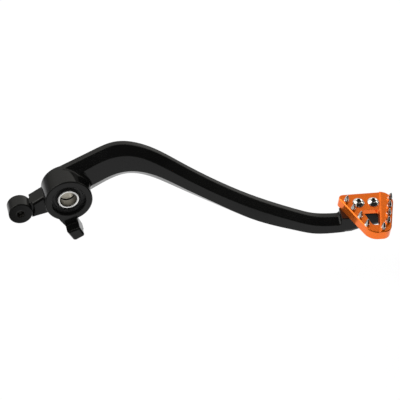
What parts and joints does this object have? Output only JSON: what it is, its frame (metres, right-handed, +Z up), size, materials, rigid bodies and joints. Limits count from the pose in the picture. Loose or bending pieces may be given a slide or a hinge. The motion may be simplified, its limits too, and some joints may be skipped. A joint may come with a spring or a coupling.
{
  "type": "motorcycle rear brake lever",
  "caption": "Curved forged foot brake lever with a sealed pivot boss, a rear push rod eye, a stop lug and a bolted plate with grip studs.",
  "frame": {"origin": "on the pivot axis at the middle of the boss", "axes": "+X forward to the step plate, +Y inboard along the pivot axis, +Z up"},
  "size_m": [0.3325, 0.0463, 0.1163],
  "materials": {
    "black_anodised": "satin black anodised forging",
    "orange_anodised": "satin orange anodised milled plate",
    "bright_steel": "bright zinc plated",
    "sleeve_steel": "ground, bright",
    "bearing_steel": "hardened, ground",
    "cage_plastic": "moulded",
    "seal_rubber": "moulded, matt"
  },
  "bodies": {
    "lever": {"lever_arm": "black_anodised", "step_plate": "orange_anodised", "plate_bolts": "bright_steel", "grip_stud_1": "bright_steel", "grip_stud_2": "bright_steel", "grip_stud_3": "bright_steel", "grip_stud_4": "bright_steel", "grip_stud_5": "bright_steel", "grip_stud_6": "bright_steel", "grip_stud_7": "bright_steel", "grip_stud_8": "bright_steel", "grip_stud_9": "bright_steel", "needle_cup": "bearing_steel", "front_dust_seal": "seal_rubber", "rear_dust_seal": "seal_rubber"},
    "pivot_sleeves": {"front_pivot_sleeve": "sleeve_steel", "rear_pivot_sleeve": "sleeve_steel"},
    "roller_set": {"needle_rollers": "bearing_steel", "needle_cage": "cage_plastic"}
  },
  "joints": [
    {"name": "lever_pivot", "type": "hinge", "parent": "lever", "child": "pivot_sleeves", "pos_m": [0, 0, 0], "axis": [0, 1, 0], "continuous": true},
    {"name": "roller_orbit", "type": "hinge", "parent": "lever", "child": "roller_set", "pos_m": [0, 0, 0], "axis": [0, 1, 0], "continuous": true}
  ],
  "couplings": [
    {"joint": "roller_orbit", "follows": "lever_pivot", "ratio": 0.45}
  ]
}
